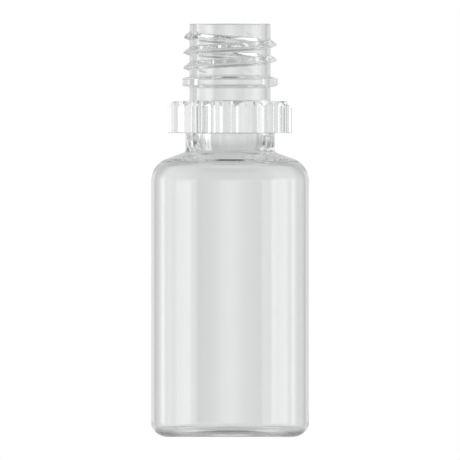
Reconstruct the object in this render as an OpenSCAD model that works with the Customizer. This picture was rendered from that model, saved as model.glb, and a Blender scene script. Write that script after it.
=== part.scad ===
// Bare eye drop bottle of clear plastic, 10 ml, for a 13 mm screw cap with a tamper band.
// Z is up, the bottle's axis is Z and its standing ring lies on z = 0.
// The real bottle is one moulding. Its zones are drawn as separate solids that meet face to face.

/* [Body] */
// Outer diameter of the body
body_d = 22; // [20:0.5:25]
// Height of the upper end of the straight side
straight_h = 36; // [26:0.5:50]
// Thickness of the side wall
side_wall = 0.65; // [0.45:0.05:0.9]

/* [Base] */
// Outer radius of the heel
heel_r = 2.2; // [1.6:0.1:2.8]
// Inner radius of the heel
heel_in_r = 1.3; // [0.8:0.1:1.6]
// Thickness of the floor
floor_wall = 0.75; // [0.5:0.05:1.1]
// Width of the flat ring that the bottle stands on
foot_w = 0.7; // [0.4:0.1:1.2]
// Rise of the push-up inside the standing ring
push_up_h = 0.65; // [0.3:0.05:1.2]

/* [Shoulder] */
// Radius of the outer corner between side and shoulder
shoulder_r = 2.8; // [2:0.1:3.5]
// Slope of the outer cone in degrees
shoulder_slope = 20.5; // [14:0.5:30]
// Thickness of the shoulder at the outer corner
shoulder_wall = 0.65; // [0.5:0.05:1.2]
// Radius of the cavity's corner under the shoulder
cavity_r = 2.15; // [1.6:0.05:3.2]
// Degrees by which the cavity's roof is flatter than the outer cone
roof_flatter = 0; // [0:0.5:6]
// Radius between the shoulder and the neck base
neck_fillet_r = 0.4; // [0.2:0.05:0.8]

/* [Neck base] */
// Width of the step between collar and neck, which the ratchet ring sits on
collar_step = 0.55; // [0.3:0.05:1]
// Straight height of the collar
neck_base_h = 2.35; // [1.8:0.05:4]
// Width of the step between bore and throat
throat_step = 0.35; // [0.2:0.05:0.5]
// Radius where the throat opens into the cavity
throat_in_r = 2.6; // [1:0.1:2.8]
// Radius where the throat opens into the bore
throat_out_r = 0.4; // [0.3:0.05:0.8]
// Distance from the top of that radius up to the top of the collar
throat_drop = 0.2; // [0.1:0.05:0.4]

/* [Neck] */
// Outer diameter of the neck
neck_d = 11.35; // [10:0.05:12.8]
// Thickness of the neck's wall round the bore, which takes a dropper plug
neck_wall = 1.025; // [0.8:0.025:1.3]
// Height of the neck above the collar
neck_h = 15.25; // [14.5:0.05:20]
// Radius of the rim's two edges
rim_r = 0.2; // [0.1:0.05:0.35]

/* [Thread] */
// Height of the ridge over the neck
thread_depth = 0.85; // [0.5:0.05:1.1]
// Rise in one turn
thread_pitch = 2.117; // [1.9:0.001:2.3]
// Turns from end to end
thread_turns = 2.2; // [1.2:0.05:2.3]
// Axial width of the ridge where it meets the neck
thread_base_w = 1.15; // [0.9:0.05:1.4]
// Axial width of the crest
thread_crest_w = 0.2; // [0.1:0.05:0.4]
// Axial run of the underside, which takes the cap's pull
thread_under_run = 0.3; // [0.1:0.05:0.5]
// Angle over which each end fades into the neck
thread_fade = 40; // [20:5:70]
// Angle of the lower end, from +X and seen from above
thread_start = 130; // [0:5:355]
// Gap between the bead and the lower end of the ridge
thread_gap = 0.55; // [0.2:0.05:0.8]

/* [Retaining bead] */
// Height of the bead over the neck
bead_depth = 1.025; // [0.7:0.025:1.3]
// Axial width of the bead where it meets the neck
bead_w = 1.45; // [1.1:0.05:1.7]
// Distance from the top of the bead down from the rim
bead_drop = 7.4; // [7.3:0.05:8.5]
// Axial slope of each flank over its height
bead_draft = 0.15; // [0.05:0.05:0.3]
// Radius of the bead's outer edges
bead_edge_r = 0.3; // [0.1:0.05:0.35]

/* [Ratchet ring] */
// Thickness of the ring between the neck and the roots of the teeth
ratchet_wall = 1.575; // [1.2:0.025:2]
// Depth of the teeth
tooth_depth = 1.45; // [0.9:0.05:1.6]
// Number of teeth
tooth_count = 12; // [8:1:18]
// Share of each tooth's pitch that its steep flank takes
steep_share = 0.08; // [0.02:0.01:0.2]
// Height of the ring
ratchet_h = 4.45; // [3:0.05:5]
// Bevel of the ring's upper outer edge
ratchet_bevel = 0.85; // [0.4:0.05:1.2]
// Angle of the first tip, from +X and seen from above
tooth_start = 3.4; // [0:0.1:30]

/* [Hidden] */
$fn = 96;
arc_steps = 10;
dome_steps = 8;
least_throat = 0.1;
thread_steps = 60;
clear_tint = [0.84, 0.86, 0.88, 0.45];

body_r = body_d / 2;
cavity_side_r = body_r - side_wall;
neck_r = neck_d / 2;
neck_base_r = neck_r + collar_step;
bore_r = neck_r - neck_wall;
throat_r = bore_r - throat_step;
cavity_slope = shoulder_slope - roof_flatter;
tooth_root_r = neck_r + ratchet_wall;
tooth_tip_r = tooth_root_r + tooth_depth;

// The base ends a wall's thickness above the heel, where the side is straight.
base_top = heel_r + side_wall;
foot_out_r = body_r - heel_r;
foot_in_r = foot_out_r - foot_w;

// Outer shoulder: corner centre, and the point where the corner meets the cone.
corner_c = [body_r - shoulder_r, straight_h];
cone_out = corner_c + shoulder_r * slope_normal(shoulder_slope);

// The cavity's roof runs through a point one wall inside that meeting point.
roof_in = cone_out - shoulder_wall * slope_normal(shoulder_slope);
cavity_c = corner_centre(cavity_side_r, cavity_r, roof_in, cavity_slope);

// Fillets from the cone to the collar outside, and from the roof to the throat inside.
fillet_c = fillet_centre(neck_base_r, neck_fillet_r, cone_out, shoulder_slope);
throat_c = fillet_centre(throat_r, throat_in_r, roof_in, cavity_slope);

// The lip turns from the throat out to the bore. The collar is tall enough for both radii.
lip_turn = acos(throat_step / throat_out_r - 1);
lip_h = throat_out_r * sin(lip_turn);
collar_z = fillet_c[1];
neck_z = max(collar_z + neck_base_h, throat_c[1] + least_throat + lip_h + throat_drop);
lip_c = [throat_r + throat_out_r, neck_z - throat_drop - lip_h];
rim_z = neck_z + neck_h;

// Part of the throat's lower radius that lies above the shoulder, in degrees.
throat_split = max(0, asin(min(1, (throat_c[1] - collar_z) / throat_in_r)));
throat_foot = throat_split > 0 ? [] : [[throat_r, collar_z]];

bead_top = rim_z - bead_drop;
thread_r = neck_r + thread_depth;
thread_seat_r = neck_r / cos(180 / thread_steps);
thread_z = bead_top + thread_gap;

// Outward normal, as [radius, height], of a cone that rises towards the axis at this slope.
function slope_normal(slope) = [sin(slope), cos(slope)];

// Centre of the corner circle inside a wall at radius wall_r and under a cone through point p.
function corner_centre(wall_r, r, p, slope) =
    [wall_r - r, p[1] + ((p[0] - wall_r + r) * sin(slope) - r) / cos(slope)];

// Centre of the fillet circle outside a wall at radius wall_r and above a cone through point p.
function fillet_centre(wall_r, r, p, slope) =
    [wall_r + r, p[1] + (r - (wall_r + r - p[0]) * sin(slope)) / cos(slope)];

// Points of an arc about c, from angle a0 to angle a1.
function arc(c, r, a0, a1) =
    [for (i = [0 : arc_steps]) let (a = a0 + (a1 - a0) * i / arc_steps) c + r * [cos(a), sin(a)]];

// Points of a shallow dish: z + rise at the axis and z at radius edge_r, run from edge to axis.
function dish(edge_r, rise, z) =
    [for (i = [dome_steps : -1 : 0]) let (k = i / dome_steps) [edge_r * k, z + rise * (1 - k * k)]];

function reversed(list) = [for (i = [len(list) - 1 : -1 : 0]) list[i]];

// Heel, standing ring and push-up floor, up to the straight side.
module base() {
    underside = reversed(dish(foot_in_r, push_up_h, 0));
    heel = arc([foot_out_r, heel_r], heel_r, -90, 0);
    floor_c = [cavity_side_r - heel_in_r, floor_wall + heel_in_r];
    inner_heel = arc(floor_c, heel_in_r, 0, -90);
    floor_top = dish(foot_in_r, push_up_h, floor_wall);
    color(clear_tint)
    rotate_extrude()
    polygon(concat(underside, heel, [[body_r, base_top], [cavity_side_r, base_top]],
                   inner_heel, floor_top));
}

// Straight side of the body.
module side_wall_tube() {
    color(clear_tint)
    translate([0, 0, base_top])
    difference() {
        cylinder(r = body_r, h = cavity_c[1] - base_top);
        translate([0, 0, -1])
        cylinder(r = cavity_side_r, h = cavity_c[1] - base_top + 2);
    }
}

// Shoulder: rounded corner and cone outside, corner, roof and throat opening inside.
module shoulder() {
    outside = concat([[body_r, cavity_c[1]]],
                     arc(corner_c, shoulder_r, 0, 90 - shoulder_slope),
                     arc(fillet_c, neck_fillet_r, 270 - shoulder_slope, 180),
                     [[neck_base_r, collar_z]]);
    inside = concat(throat_foot,
                    arc(throat_c, throat_in_r, 180 + throat_split, 270 - cavity_slope),
                    arc(cavity_c, cavity_r, 90 - cavity_slope, 0));
    color(clear_tint)
    rotate_extrude()
    polygon(concat(outside, inside));
}

// Collar under the ratchet ring, with the throat that flares down into the cavity and opens into the bore.
module neck_base() {
    outside = [[neck_base_r, collar_z], [neck_base_r, neck_z], [bore_r, neck_z]];
    lip = arc(lip_c, throat_out_r, lip_turn, 180);
    flare = throat_split > 0 ? arc(throat_c, throat_in_r, 180, 180 + throat_split) : throat_foot;
    color(clear_tint)
    rotate_extrude()
    polygon(concat(outside, lip, flare));
}

// Neck with its plug bore and rounded rim.
module neck_tube() {
    outer_edge = arc([neck_r - rim_r, rim_z - rim_r], rim_r, 0, 90);
    inner_edge = arc([bore_r + rim_r, rim_z - rim_r], rim_r, 90, 180);
    color(clear_tint)
    rotate_extrude()
    polygon(concat([[bore_r, neck_z], [neck_r, neck_z]], outer_edge, inner_edge));
}

// One cross-section of the thread ridge at angle a, whose lower edge is at height z.
// reach goes from 0 where the ridge fades out to 1 where it has its full height.
function ridge_section(a, z, reach) =
    let (crest_r = thread_seat_r + (thread_r - thread_seat_r) * reach,
         low = thread_under_run * reach,
         high = thread_base_w - (thread_base_w - thread_under_run - thread_crest_w) * reach)
    [for (p = [[thread_seat_r, 0], [crest_r, low], [crest_r, high], [thread_seat_r, thread_base_w]])
        [p[0] * cos(a), p[0] * sin(a), z + p[1]]];

// Screw thread: a right-handed ridge, steep above and nearly flat below, fading in at both ends.
module screw_thread() {
    rings = round(thread_turns * thread_steps);
    fade_rings = thread_fade / 360 * thread_steps;
    least_reach = 0.08;
    points = [for (i = [0 : rings])
        let (a = thread_start + 360 * i / thread_steps,
             near_end = min(1, min(i, rings - i) / fade_rings),
             reach = least_reach + (1 - least_reach) * sin(90 * near_end))
        each ridge_section(a, thread_z + thread_pitch * i / thread_steps, reach)];
    last = 4 * rings;
    faces = concat(
        [[0, 1, 2, 3], [last + 3, last + 2, last + 1, last]],
        [for (i = [0 : rings - 1], k = [0 : 3])
            let (p = 4 * i + k, q = 4 * i + (k + 1) % 4)
            each [[p, p + 4, q], [q, p + 4, q + 4]]]);
    color(clear_tint)
    polyhedron(points, faces);
}

// Bead that holds the cap's tamper band.
module retaining_bead() {
    bead_r = neck_r + bead_depth;
    low = bead_top - bead_w;
    top_c = [bead_r - bead_edge_r, bead_top - bead_draft - bead_edge_r];
    low_c = [bead_r - bead_edge_r, low + bead_draft + bead_edge_r];
    color(clear_tint)
    rotate_extrude()
    polygon(concat([[neck_r, low]], arc(low_c, bead_edge_r, -90, 0),
                   arc(top_c, bead_edge_r, 0, 90), [[neck_r, bead_top]]));
}

// Outline of the ratchet: run anticlockwise, each tooth rises steeply and falls slowly.
function ratchet_outline() =
    let (pitch = 360 / tooth_count)
    [for (i = [0 : tooth_count - 1])
        let (tip = tooth_start + i * pitch, root = tip - steep_share * pitch)
        each [tooth_root_r * [cos(root), sin(root)], tooth_tip_r * [cos(tip), sin(tip)]]];

// Ratchet ring that stops the tamper band from turning back, bevelled at its upper edge.
module ratchet_ring() {
    top_z = neck_z + ratchet_h;
    color(clear_tint)
    difference() {
        intersection() {
            translate([0, 0, neck_z])
            linear_extrude(ratchet_h)
            polygon(ratchet_outline());
            rotate_extrude()
            polygon([[0, neck_z], [tooth_tip_r + 1, neck_z], [tooth_tip_r + 1, top_z - ratchet_bevel - 1],
                     [tooth_tip_r - ratchet_bevel, top_z], [0, top_z]]);
        }
        translate([0, 0, neck_z - 1])
        cylinder(r = neck_r, h = ratchet_h + 2);
    }
}

base();
side_wall_tube();
shoulder();
neck_base();
neck_tube();
screw_thread();
retaining_bead();
ratchet_ring();
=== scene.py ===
import math

import bpy
import numpy as np
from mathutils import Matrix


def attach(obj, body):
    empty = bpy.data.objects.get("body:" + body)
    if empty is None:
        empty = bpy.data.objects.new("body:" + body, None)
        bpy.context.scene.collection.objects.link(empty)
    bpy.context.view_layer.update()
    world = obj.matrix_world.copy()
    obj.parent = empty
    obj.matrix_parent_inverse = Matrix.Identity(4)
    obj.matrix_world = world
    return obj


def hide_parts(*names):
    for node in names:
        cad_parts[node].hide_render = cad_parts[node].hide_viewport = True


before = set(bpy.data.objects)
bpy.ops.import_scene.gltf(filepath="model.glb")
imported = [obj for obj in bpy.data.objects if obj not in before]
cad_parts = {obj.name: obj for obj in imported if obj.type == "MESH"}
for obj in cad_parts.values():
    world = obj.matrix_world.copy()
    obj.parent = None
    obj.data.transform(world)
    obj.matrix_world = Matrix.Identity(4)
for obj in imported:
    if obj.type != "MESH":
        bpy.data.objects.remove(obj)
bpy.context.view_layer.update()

scene = bpy.context.scene
MM = 0.001

# The bottle's sizes, in millimetres and degrees. They are the part's own, but for the shoulder, the wall under
# it, the cavity's upper corner and the throat, which follow the bands of light in the plastic more finely.
BODY_R = 11.0
SIDE_WALL = 0.65
STRAIGHT_H = 35.6
HEEL_R = 2.2
HEEL_IN_R = 1.3
FLOOR_WALL = 0.75
FOOT_W = 0.7
PUSH_UP_H = 0.65
SHOULDER_R = 3.46
SHOULDER_TURN = 63.9
SHOULDER_SLOPE = math.radians(19.82)
SHOULDER_WALL = 0.58
CAVITY_R = 3.5
CAVITY_TIGHT_R = 2.05
CAVITY_TURN = 31.5
CAVITY_SLOPE = math.radians(19.81)
NECK_FILLET_R = 0.4
NECK_R = 11.35 / 2
NECK_WALL = 1.025
NECK_H = 15.25
RIM_R = 0.2
COLLAR_STEP = 0.55
COLLAR_H = 2.35
FLARE_R = 5.0
FLARE_TURN = 38.0
FLARE_RISE = 0.2
THREAD_DEPTH = 0.85
THREAD_PITCH = 2.117
THREAD_TURNS = 2.2
THREAD_BASE_W = 1.15
THREAD_CREST_W = 0.2
THREAD_UNDER_RUN = 0.3
THREAD_FADE = 40.0
THREAD_START = 130.0
THREAD_GAP = 0.55
BEAD_DEPTH = 1.025
BEAD_W = 1.45
BEAD_DROP = 7.4
BEAD_DRAFT = 0.15
BEAD_EDGE_R = 0.3
TOOTH_ROOT_R = NECK_R + 1.575
TOOTH_TIP_R = TOOTH_ROOT_R + 1.45
TOOTH_COUNT = 12
TOOTH_START = 3.4
STEEP_SHARE = 0.08
RATCHET_H = 4.45
RATCHET_BEVEL = 0.85

# Small roundings that only the looks have.
FOOT_EDGE_R = 0.12
RING_EDGE_R = 0.1
SEAT_FILLET_R = 0.12
TOOTH_SOFT = 0.02
THREAD_SOFT = 0.03
FOOT_EDGE_TURN = 8
BEAD_FACE_TURN = 82
SHOULDER_CREASE = 0.8

# How closely the skin's rows and columns stand.
POLE_R = 0.02
NEAR = 0.06
NEAR_SHARE = 0.25
TINY = 1e-6
FLARE_GAP = 0.04
UNDERSIDE_STEP = 0.3
TOP_STEP = 0.1
THREAD_ROW = 0.078
THREAD_MARGIN = 0.12
THREAD_CLEAR = 0.25
RIM_CLEAR = 0.3
DISH_STEPS = 9
HEEL_STEPS = 14
HEEL_IN_STEPS = 12
SHOULDER_STEPS = 18
NECK_FILLET_STEPS = 7
SEAT_STEPS = 4
BEAD_STEPS = 6
RIM_STEPS = 6
RING_EDGE_STEPS = 3
BEVEL_ROWS = 15
FLARE_STEPS = 9
CROOK_STEPS = 7
CAVITY_STEPS = 14
STEEP_PLACES = np.array([1.06, 1, 0.94, 0.8, 0.5, 0.2, 0.06, 0])
TIP_PLACES = [0.2, 0.7]
BACK_START = 1.6
BACK_GAP = 1.2
BACK_COLUMNS = 16
ROOT_GAP = 0.4

# The camera's frame and place, in millimetres.
FRAME_W = 64.12
CAMERA_X = -0.006
CAMERA_AWAY = 300
CAMERA_Z = 28.84


def make_camera():
    """Level view along +Y, without perspective, framed as the photograph is."""
    data = bpy.data.cameras.new("camera")
    data.type = "ORTHO"
    data.ortho_scale = FRAME_W * MM
    cam = bpy.data.objects.new("camera", data)
    cam.location = (CAMERA_X * MM, -CAMERA_AWAY * MM, CAMERA_Z * MM)
    cam.rotation_euler = (math.radians(90), 0, 0)
    scene.collection.objects.link(cam)
    scene.camera = cam


make_camera()


# Profile pieces: arrays of (radius, height) points, in millimetres.

def way(turn):
    """Unit vector (cos turn, sin turn) of a turn in degrees, from straight outwards to straight up."""
    return np.array([math.cos(math.radians(turn)), math.sin(math.radians(turn))])


def arc(centre, radius, start, end, steps):
    """centre + radius * (cos a, sin a), with a running evenly from start to end in degrees."""
    a = np.radians(np.linspace(start, end, steps + 1))
    return np.stack([centre[0] + radius * np.cos(a), centre[1] + radius * np.sin(a)], 1)


def flat(start, end, middle=0):
    """Straight run from start to end, with a row close to each end so that its middle keeps a true normal."""
    start, end = np.array(start, float), np.array(end, float)
    near = min(NEAR_SHARE, NEAR / np.linalg.norm(end - start))
    share = np.concatenate([[near], np.linspace(near, 1 - near, middle + 2)[1:-1], [1 - near]])
    return start + share[:, None] * (end - start)


def dish(edge_r, rise, z, steps):
    """Shallow dish from axis to edge: height z + rise * (1 - (radius / edge_r) squared)."""
    r = np.concatenate([[POLE_R], np.linspace(0, edge_r, steps + 1)[1:]])
    return np.stack([r, z + rise * (1 - (r / edge_r) ** 2)], 1)


def cone_normal(slope):
    """Outward normal (radius, height) of a cone that rises towards the axis."""
    return np.array([math.sin(slope), math.cos(slope)])


def fillet_centre(wall_r, radius, point, slope):
    """Centre of the fillet circle outside a wall and above a cone through the point."""
    lift = (radius - (wall_r + radius - point[0]) * math.sin(slope)) / math.cos(slope)
    return np.array([wall_r + radius, point[1] + lift])


foot_out_r = BODY_R - HEEL_R
foot_in_r = foot_out_r - FOOT_W
collar_r = NECK_R + COLLAR_STEP
bore_r = NECK_R - NECK_WALL
cavity_side_r = BODY_R - SIDE_WALL
cone_turn = 90 - math.degrees(SHOULDER_SLOPE)
roof_turn = 90 - math.degrees(CAVITY_SLOPE)

# The shoulder's corner ends in a faint crease on the cone.
corner_c = np.array([BODY_R - SHOULDER_R, STRAIGHT_H])
cone_foot = corner_c + SHOULDER_R * way(SHOULDER_TURN)
fillet_c = fillet_centre(collar_r, NECK_FILLET_R, cone_foot, SHOULDER_SLOPE)
neck_z = fillet_c[1] + COLLAR_H

# The cavity's corner turns tightly under the roof, then in a wide radius down to the side.
roof_in = cone_foot - SHOULDER_WALL * cone_normal(SHOULDER_SLOPE)
roof_way = cone_normal(CAVITY_SLOPE)
crook_r = cavity_side_r - CAVITY_R + (CAVITY_R - CAVITY_TIGHT_R) * way(CAVITY_TURN)[0]
roof_end_r = crook_r + CAVITY_TIGHT_R * roof_way[0]
roof_end = np.array([roof_end_r, roof_in[1] - (roof_end_r - roof_in[0]) * math.tan(CAVITY_SLOPE)])
crook_c = roof_end - CAVITY_TIGHT_R * roof_way
cavity_c = crook_c - (CAVITY_R - CAVITY_TIGHT_R) * way(CAVITY_TURN)

# The throat flares from the bore in a wide radius, then in a tighter one that meets the cavity's roof.
mouth_z = neck_z + FLARE_RISE
wide_c = np.array([bore_r + FLARE_R, mouth_z])
flare_way = way(FLARE_TURN)
flare_end = wide_c - FLARE_R * flare_way
tight_r = (flare_end - roof_in) @ roof_way / (1 - flare_way @ roof_way)
tight_c = flare_end + tight_r * flare_way

ring_top = neck_z + RATCHET_H
bevel_foot = ring_top - RATCHET_BEVEL
rim_z = neck_z + NECK_H
bead_top = rim_z - BEAD_DROP
bead_low = bead_top - BEAD_W
thread_z = bead_top + THREAD_GAP
thread_top = thread_z + THREAD_PITCH * THREAD_TURNS + THREAD_BASE_W


def column_angles():
    """Angles of the columns: the same steps in every tooth, close together at its root and tip."""
    pitch = 360 / TOOTH_COUNT
    steep = -STEEP_SHARE * pitch * STEEP_PLACES
    root = pitch + steep[0]
    back = np.linspace(BACK_START, root - BACK_GAP, BACK_COLUMNS)
    step = np.concatenate([steep, TIP_PLACES, back, [root - ROOT_GAP]])
    return np.radians(np.sort((TOOTH_START + np.add.outer(pitch * np.arange(TOOTH_COUNT), step)).ravel()))


theta = column_angles()


def soft_min(a, b, width):
    """The smaller of a and b, rounded over about that width where they meet."""
    return -width * np.logaddexp(-a / width, -b / width)


def chord_radius(angle, a0, r0, a1, r1):
    """Polar radius of the straight line through the points (r0, a0) and (r1, a1)."""
    return r0 * r1 * np.sin(a1 - a0) / (r0 * np.sin(angle - a0) + r1 * np.sin(a1 - angle))


def tooth_radius(angle):
    """Outline of the ratchet: steep chord up to each tip, shallow chord down to the next root."""
    pitch = math.radians(360 / TOOTH_COUNT)
    steep = STEEP_SHARE * pitch
    a = (angle - math.radians(TOOTH_START) + steep) % pitch - steep
    up = chord_radius(a, -steep, TOOTH_ROOT_R, 0, TOOTH_TIP_R)
    down = chord_radius(a, 0, TOOTH_TIP_R, pitch - steep, TOOTH_ROOT_R)
    return np.where(a < 0, up, down)


def thread_height(angle, z):
    """Height of the thread's ridge over the neck: for each turn, the least of the underside's
    slope, the crest and the upper flank's slope, fading in and out at the ends."""
    total = 360 * THREAD_TURNS
    first = (np.degrees(angle) - THREAD_START) % 360
    flank_run = THREAD_BASE_W - THREAD_UNDER_RUN - THREAD_CREST_W
    best = np.zeros(np.broadcast(angle, z).shape)
    for turn in range(math.ceil(THREAD_TURNS)):
        a = first + 360 * turn
        end = np.clip(np.minimum(a, total - a) / THREAD_FADE, 0, 1)
        reach = np.sin(np.radians(90 * end))
        u = z - thread_z - THREAD_PITCH * a / 360
        under = u * THREAD_DEPTH / THREAD_UNDER_RUN
        upper = (THREAD_BASE_W - u) * THREAD_DEPTH / flank_run
        ridge = soft_min(soft_min(under, upper, THREAD_SOFT), THREAD_DEPTH * reach, THREAD_SOFT)
        best = np.maximum(best, ridge * (reach > 0))
    return best


def around(values):
    """Each value carried round all columns, as one row."""
    return np.repeat(np.asarray(values, float)[:, None], len(theta), 1)


def turned(pieces):
    """Radii and heights of a plain turned surface: each profile point carried round all columns."""
    points = np.concatenate(pieces)
    return around(points[:, 0]), around(points[:, 1])


def body_outside():
    """Profile from the underside's middle, over the standing ring, heel, side and shoulder to the collar."""
    return [
        dish(foot_in_r, PUSH_UP_H, 0, DISH_STEPS)[:-1],
        arc([foot_in_r + FOOT_EDGE_R, FOOT_EDGE_R], FOOT_EDGE_R, 180 + FOOT_EDGE_TURN, 270, SEAT_STEPS),
        flat([foot_in_r + FOOT_EDGE_R, 0], [foot_out_r, 0]),
        arc([foot_out_r, HEEL_R], HEEL_R, -90, 0, HEEL_STEPS),
        flat([BODY_R, HEEL_R], [BODY_R, STRAIGHT_H], 2),
        arc(corner_c, SHOULDER_R, 0, SHOULDER_TURN - SHOULDER_CREASE, SHOULDER_STEPS),
        [cone_foot],
        flat(cone_foot, fillet_c - NECK_FILLET_R * cone_normal(SHOULDER_SLOPE)),
        arc(fillet_c, NECK_FILLET_R, 180 + cone_turn, 180, NECK_FILLET_STEPS),
        flat([collar_r, fillet_c[1]], [collar_r, neck_z - SEAT_FILLET_R]),
        arc([collar_r + SEAT_FILLET_R, neck_z - SEAT_FILLET_R], SEAT_FILLET_R, 180, 90, SEAT_STEPS),
        [[collar_r + UNDERSIDE_STEP, neck_z]],
    ]


def ring_rows():
    """Ratchet ring: its lower edge, its toothed side, and its teeth cut off by the bevel's cone."""
    tooth = tooth_radius(theta)
    side = np.concatenate([
        arc([-RING_EDGE_R, neck_z + RING_EDGE_R], RING_EDGE_R, -90, 0, RING_EDGE_STEPS),
        flat([0, neck_z + RING_EDGE_R], [0, bevel_foot - NEAR], 1),
    ])
    rise = np.linspace(0, RATCHET_BEVEL, BEVEL_ROWS)
    bevel = soft_min(tooth, TOOTH_TIP_R - around(rise), TOOTH_SOFT)
    return (np.concatenate([tooth + around(side[:, 0]), bevel, bevel[-1:] - NEAR]),
            np.concatenate([around(side[:, 1]), around(bevel_foot + rise), around([ring_top])]))


def neck_outside():
    """Profile from the ring's top, up the neck and over the retaining bead."""
    face_r = NECK_R + BEAD_DEPTH
    seat_r = NECK_R + SEAT_FILLET_R
    edge_low = bead_low + BEAD_DRAFT + BEAD_EDGE_R
    edge_top = bead_top - BEAD_DRAFT - BEAD_EDGE_R
    return [
        [[seat_r + TOP_STEP, ring_top]],
        arc([seat_r, ring_top + SEAT_FILLET_R], SEAT_FILLET_R, 270, 180, SEAT_STEPS),
        flat([NECK_R, ring_top + SEAT_FILLET_R], [NECK_R, bead_low - SEAT_FILLET_R]),
        arc([seat_r, bead_low - SEAT_FILLET_R], SEAT_FILLET_R, 180, 90, SEAT_STEPS),
        arc([face_r - BEAD_EDGE_R, edge_low], BEAD_EDGE_R, -BEAD_FACE_TURN, 0, BEAD_STEPS),
        flat([face_r, edge_low], [face_r, edge_top]),
        arc([face_r - BEAD_EDGE_R, edge_top], BEAD_EDGE_R, 0, BEAD_FACE_TURN, BEAD_STEPS),
        arc([seat_r, bead_top + SEAT_FILLET_R], SEAT_FILLET_R, 270, 180, SEAT_STEPS),
    ]


def thread_rows():
    """Neck under, along and over the screw thread: the neck's radius plus the thread's height."""
    run = np.arange(thread_z - THREAD_MARGIN, thread_top + THREAD_MARGIN, THREAD_ROW)
    z = around(np.concatenate([[thread_z - THREAD_CLEAR], run, [rim_z - RIM_R - RIM_CLEAR]]))
    return NECK_R + thread_height(theta, z), z


def inside():
    """Profile from the rim down the bore, the throat, the cavity's roof, corner and side to the floor's middle."""
    return [
        arc([NECK_R - RIM_R, rim_z - RIM_R], RIM_R, 0, 90, RIM_STEPS),
        flat([NECK_R - RIM_R, rim_z], [bore_r + RIM_R, rim_z]),
        arc([bore_r + RIM_R, rim_z - RIM_R], RIM_R, 90, 180, RIM_STEPS),
        flat([bore_r, rim_z - RIM_R], [bore_r, mouth_z + FLARE_GAP], 1),
        arc(wide_c, FLARE_R, 180, 180 + FLARE_TURN, FLARE_STEPS),
        arc(tight_c, tight_r, 180 + FLARE_TURN, 180 + roof_turn, FLARE_STEPS)[1:],
        flat(tight_c - tight_r * roof_way, roof_end),
        arc(crook_c, CAVITY_TIGHT_R, roof_turn, CAVITY_TURN, CROOK_STEPS),
        arc(cavity_c, CAVITY_R, CAVITY_TURN, 0, CAVITY_STEPS)[1:],
        flat([cavity_side_r, cavity_c[1]], [cavity_side_r, FLOOR_WALL + HEEL_IN_R], 2),
        arc([cavity_side_r - HEEL_IN_R, FLOOR_WALL + HEEL_IN_R], HEEL_IN_R, 0, -90, HEEL_IN_STEPS),
        flat([cavity_side_r - HEEL_IN_R, FLOOR_WALL], [foot_in_r, FLOOR_WALL]),
        dish(foot_in_r, PUSH_UP_H, FLOOR_WALL, DISH_STEPS)[::-1],
    ]


def skin_rows():
    """All rows of the skin, from the underside's middle, up the outside, down the inside to the floor."""
    groups = [turned(body_outside()), ring_rows(), turned(neck_outside()), thread_rows(), turned(inside())]
    return np.concatenate([r for r, _ in groups]), np.concatenate([z for _, z in groups])


def skin_normals(points):
    """Cross product of the skin's two tangents, each from second-order differences along its own length."""
    wide = np.concatenate([points[:, -2:], points, points[:, :2]], 1)
    angle = np.concatenate([theta[-2:] - 2 * math.pi, theta, theta[:2] + 2 * math.pi])
    along_theta = np.gradient(wide, angle, axis=1)[:, 2:-2]
    step = np.maximum(np.linalg.norm(np.diff(points, axis=0), axis=2), TINY)
    before, after = step[:-1, :, None], step[1:, :, None]
    slope = np.diff(points, axis=0) / step[:, :, None]
    inner = (after * slope[:-1] + before * slope[1:]) / (before + after)
    along_row = np.concatenate([slope[:1], inner, slope[-1:]])
    normal = np.cross(along_theta, along_row)
    return normal / np.maximum(np.linalg.norm(normal, axis=2, keepdims=True), TINY)


def make_skin(name, material):
    """Whole bottle as one closed skin: a grid of profile rows by angle, closed by a point at each pole."""
    r, z = skin_rows()
    rows, cols = r.shape
    grid = np.stack([r * np.cos(theta), r * np.sin(theta), z], 2)
    poles = np.array([[0, 0, PUSH_UP_H], [0, 0, FLOOR_WALL + PUSH_UP_H]])
    verts = np.concatenate([grid.reshape(-1, 3), poles]) * MM
    index = np.arange(rows * cols).reshape(rows, cols)
    right = np.roll(index, -1, axis=1)
    quads = np.stack([index[:-1], right[:-1], right[1:], index[1:]], 2).reshape(-1, 4)
    first, last = rows * cols, rows * cols + 1
    start = np.stack([np.full(cols, first), right[0], index[0]], 1)
    finish = np.stack([np.full(cols, last), index[-1], right[-1]], 1)
    mesh = bpy.data.meshes.new(name)
    mesh.from_pydata(verts, [], quads.tolist() + start.tolist() + finish.tolist())
    mesh.polygons.foreach_set("use_smooth", np.ones(len(mesh.polygons), bool))
    mesh.update()
    normals = np.concatenate([skin_normals(grid).reshape(-1, 3), [[0, 0, -1], [0, 0, 1]]])
    mesh.normals_split_custom_set_from_vertices(normals)
    mesh.materials.append(material)
    piece = bpy.data.objects.new(name, mesh)
    scene.collection.objects.link(piece)
    return piece


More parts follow.
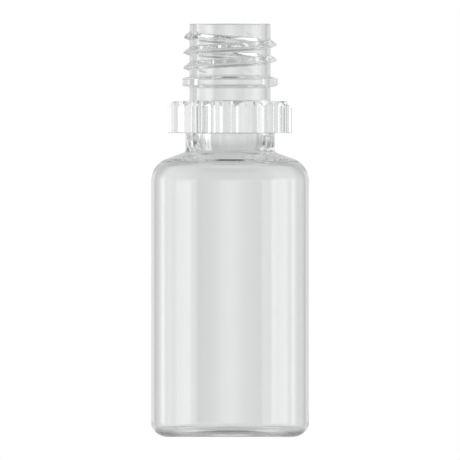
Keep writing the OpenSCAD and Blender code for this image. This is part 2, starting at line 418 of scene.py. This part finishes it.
class Value:
    """One output socket; arithmetic on it adds Math nodes to the same tree."""

    def __init__(self, tree, socket):
        self.tree, self.socket = tree, socket

    def _math(self, operation, *inputs):
        return Shader(self.tree).node("ShaderNodeMath", {"operation": operation}, dict(enumerate(inputs)))

    def __add__(self, other):
        return self._math("ADD", self, other)

    def __sub__(self, other):
        return self._math("SUBTRACT", self, other)

    def __rsub__(self, other):
        return self._math("SUBTRACT", other, self)

    def __mul__(self, other):
        return self._math("MULTIPLY", self, other)

    def __truediv__(self, other):
        return self._math("DIVIDE", self, other)

    def __rtruediv__(self, other):
        return self._math("DIVIDE", other, self)

    def __pow__(self, other):
        return self._math("POWER", self, other)

    def __lt__(self, other):
        return self._math("LESS_THAN", self, other)

    def __gt__(self, other):
        return self._math("GREATER_THAN", self, other)

    __radd__ = __add__
    __rmul__ = __mul__

    def call(self, operation, *others):
        """A Math function of this value, such as ARCSINE or ARCTAN2."""
        return self._math(operation, self, *others)


class Shader:
    """Adds nodes to one tree."""

    def __init__(self, tree):
        self.tree = tree

    def split(self, vector):
        """The X, Y and Z of a vector."""
        parts = self.node("ShaderNodeSeparateXYZ", None, {0: vector}).socket.node
        return [Value(self.tree, part) for part in parts.outputs]

    def seen_through_glass(self):
        """1 for a ray that glass has bent or mirrored, else 0."""
        path = self.node("ShaderNodeLightPath").socket.node
        glossy = Value(self.tree, path.outputs["Is Glossy Ray"])
        return glossy.call("MAXIMUM", Value(self.tree, path.outputs["Is Transmission Ray"]))

    def node(self, kind, settings=None, inputs=None, output=0):
        """One node: its settings first, a ramp's stops among them, then its sockets' values or links."""
        made = self.tree.nodes.new(kind)
        for key, value in (settings or {}).items():
            if key == "stops":
                ramp = made.color_ramp
                while len(ramp.elements) < len(value):
                    ramp.elements.new(0.5)
                for element, (place, level) in zip(ramp.elements, value):
                    element.position = place
                    element.color = (level, level, level, 1)
            else:
                setattr(made, key, value)
        for key, value in (inputs or {}).items():
            if isinstance(value, Value):
                self.tree.links.new(value.socket, made.inputs[key])
            else:
                made.inputs[key].default_value = value
        return Value(self.tree, made.outputs[output]) if made.outputs else None


def empty_tree(owner):
    """Shader for a material's or world's own tree, emptied."""
    owner.use_nodes = True
    owner.node_tree.nodes.clear()
    return Shader(owner.node_tree)


# The plastic: its pale tint, slow flow waves, and the scuffed places on its underside, in millimetres.
TINT_LOW = (0.94, 0.95, 0.95, 1)
TINT_HIGH = (0.955, 0.96, 0.96, 1)
PLASTIC_IOR = 1.5
FLOW_SCALE = 160.0
FLOW_DEPTH = 0.03
FLOW_STRENGTH = 0.25
SCUFF_SCALE = 2600.0
SCUFF_DEPTH = 0.05
SCUFF_LEAST = 0.18
SCUFF_SPREAD = 0.3
STANDING_TOP = 0.08
STANDING_IN_R = 7.8
STANDING_OUT_R = 9.2
GATE_TOP = 0.7
GATE_R = 1.1


def clear_plastic():
    """Clear moulded plastic: faint flow waves, a scuffed standing ring and a matt gate mark under the floor."""
    material = bpy.data.materials.new("clear_plastic")
    sh = empty_tree(material)
    place = sh.node("ShaderNodeTexCoord", output="Object")
    x, y, z = sh.split(place)
    across = (x * x + y * y) ** 0.5
    standing = (z < STANDING_TOP * MM) * (across > STANDING_IN_R * MM) * (across < STANDING_OUT_R * MM)
    gate = (across < GATE_R * MM) * (z < GATE_TOP * MM)
    worn = (standing + gate).call("MINIMUM", 1.0)
    scuffs = sh.node("ShaderNodeTexNoise", {"noise_dimensions": "3D"},
                     {"Vector": place, "Scale": SCUFF_SCALE, "Detail": 3.0, "Roughness": 0.6})
    flow = sh.node("ShaderNodeTexNoise", {"noise_dimensions": "3D"},
                   {"Vector": place, "Scale": FLOW_SCALE, "Detail": 1.0, "Roughness": 0.4})
    bump = sh.node("ShaderNodeBump", None, {
        "Strength": FLOW_STRENGTH, "Distance": FLOW_DEPTH * MM, "Height": flow + worn * scuffs * SCUFF_DEPTH})
    tint = sh.node("ShaderNodeMix", {"data_type": "RGBA"}, {0: flow, 6: TINT_LOW, 7: TINT_HIGH}, output=2)
    shader = sh.node("ShaderNodeBsdfPrincipled", None, {
        "Base Color": tint, "Roughness": worn * (SCUFF_LEAST + SCUFF_SPREAD * scuffs), "Normal": bump,
        "IOR": PLASTIC_IOR, "Transmission Weight": 1.0})
    sh.node("ShaderNodeOutputMaterial", None, {"Surface": shader})
    return material


# Brightness of the studio at the bottle's own height, by compass direction: 0 is straight behind it,
# 90 the camera's right. Panels stand behind, at both sides and beside the camera, with dark gaps between.
HORIZON = [(-180, 1.38), (-168, 1.15), (-160, 0.62), (-150, 0.28), (-131, 0.1), (-127, 1.45), (-118, 1.8),
           (-106, 1.5), (-99, 1.0), (-90, 0.95), (-68, 1.1), (-62, 2.0), (-58, 1.9), (-54, 0.8), (-47, 0.55),
           (-34, 0.53), (-22, 0.8), (26, 0.72), (34, 0.5), (45, 0.62), (60, 0.8), (65, 1.3), (74, 1.3), (79, 1.1),
           (84, 1.3), (87, 2.3), (105, 1.95), (114, 2.0), (117, 0.5), (134, 0.9), (155, 1.15), (180, 1.38)]
# The same above and below that height.
ABOVE = [(-180, 0.2), (-130, 0.2), (-105, 0.75), (-62, 0.95), (-46, 0.3), (-26, 0.6), (26, 0.6), (44, 0.25),
         (62, 0.75), (100, 0.95), (120, 0.25), (180, 0.2)]
BELOW = [(-180, 1.0), (-135, 1.0), (-90, 1.25), (-60, 1.1), (-40, 0.6), (-14, 0.45), (14, 0.45), (40, 0.7),
         (60, 1.0), (90, 1.2), (135, 1.0), (180, 1.0)]
# Steeply below: low panels stand to the left and right of a dark middle, behind and before the bottle.
DEEP = [(-180, 0.12), (-140, 0.12), (-112, 0.9), (-90, 1.25), (-60, 1.1), (-40, 1.6), (-24, 1.5), (-15, 0.2),
        (15, 0.2), (24, 1.5), (40, 1.6), (60, 1.1), (90, 1.25), (112, 0.9), (140, 0.12), (180, 0.12)]
# By height in degrees: the share of the horizon's panels, the share of the even light straight above and
# below, the share of the deep panels under the horizon, and how far all but the first two fade.
LEVEL_BAND = [(-90, 0.0), (-14, 0.0), (-5, 1.0), (5, 1.0), (14, 0.0), (90, 0.0)]
POLE_CAPS = [(-90, 1.0), (-76, 1.0), (-64, 0.0), (55, 0.0), (72, 1.0), (90, 1.0)]
DEEP_BAND = [(-90, 1.0), (-50, 1.0), (-38, 0.0), (90, 0.0)]
FADE = [(-90, 0.35), (-60, 0.8), (-40, 1.0), (24, 1.0), (38, 0.6), (60, 0.5), (90, 0.6)]
CAP_LIGHT = 0.9


def make_world():
    """Studio seen by the glass as panels of light by direction, and by the camera and the floor as plain white."""
    world = bpy.data.worlds.new("studio")
    sh = empty_tree(world)
    x, y, z = sh.split(sh.node("ShaderNodeTexCoord", output="Generated"))
    turn = x.call("ARCTAN2", y) / (2 * math.pi) + 0.5
    rise = z.call("ARCSINE") / math.pi + 0.5

    def panels(stops, whole, where):
        """A ramp through the stops: angles scaled by the whole span, levels by the brightest."""
        brightest = max(level for _, level in stops)
        places = [(angle / whole + 0.5, level / brightest) for angle, level in stops]
        return sh.node("ShaderNodeValToRGB", {"stops": places}, {"Fac": where}) * brightest

    level_band, caps, deep_band = (panels(band, 180, rise) for band in (LEVEL_BAND, POLE_CAPS, DEEP_BAND))
    is_below = z < 0
    below = panels(BELOW, 360, turn) * (1 - deep_band) + panels(DEEP, 360, turn) * deep_band
    sides = (panels(ABOVE, 360, turn) * (1 - is_below) + below * is_below) * panels(FADE, 180, rise)
    rest = sides * (1 - caps) + caps * CAP_LIGHT
    studio = panels(HORIZON, 360, turn) * level_band + (1 - level_band) * rest
    seen = sh.seen_through_glass()
    back = sh.node("ShaderNodeBackground", None, {"Color": (1, 1, 1, 1), "Strength": studio * seen + (1 - seen)})
    sh.node("ShaderNodeOutputWorld", None, {"Surface": back})
    scene.world = world


# The floor's half width, in metres, and its colour.
FLOOR_HALF = 2.0
FLOOR_WHITE = (0.9, 0.9, 0.9, 1)


def make_floor():
    """Pale level floor. Glass looks through it to the studio's lower half."""
    mesh = bpy.data.meshes.new("floor")
    corners = [(-1, -1), (1, -1), (1, 1), (-1, 1)]
    mesh.from_pydata([(FLOOR_HALF * x, FLOOR_HALF * y, 0) for x, y in corners], [], [(0, 1, 2, 3)])
    material = bpy.data.materials.new("floor_white")
    sh = empty_tree(material)
    diffuse = sh.node("ShaderNodeBsdfDiffuse", None, {"Color": FLOOR_WHITE})
    clear = sh.node("ShaderNodeBsdfTransparent")
    mixed = sh.node("ShaderNodeMixShader", None, {0: sh.seen_through_glass(), 1: diffuse, 2: clear})
    sh.node("ShaderNodeOutputMaterial", None, {"Surface": mixed})
    mesh.materials.append(material)
    floor = bpy.data.objects.new("floor", mesh)
    scene.collection.objects.link(floor)


make_world()
make_floor()
bottle = make_skin("bottle", clear_plastic())
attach(bottle, "root")
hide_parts("base", "side_wall_tube", "shoulder", "neck_base", "neck_tube", "screw_thread",
            "retaining_bead", "ratchet_ring")

# Light crosses the walls, the thread and the teeth many times before it leaves the plastic.
BOUNCES = 40
scene.view_settings.view_transform = "Standard"
scene.cycles.max_bounces = BOUNCES
scene.cycles.transmission_bounces = BOUNCES
scene.cycles.glossy_bounces = BOUNCES
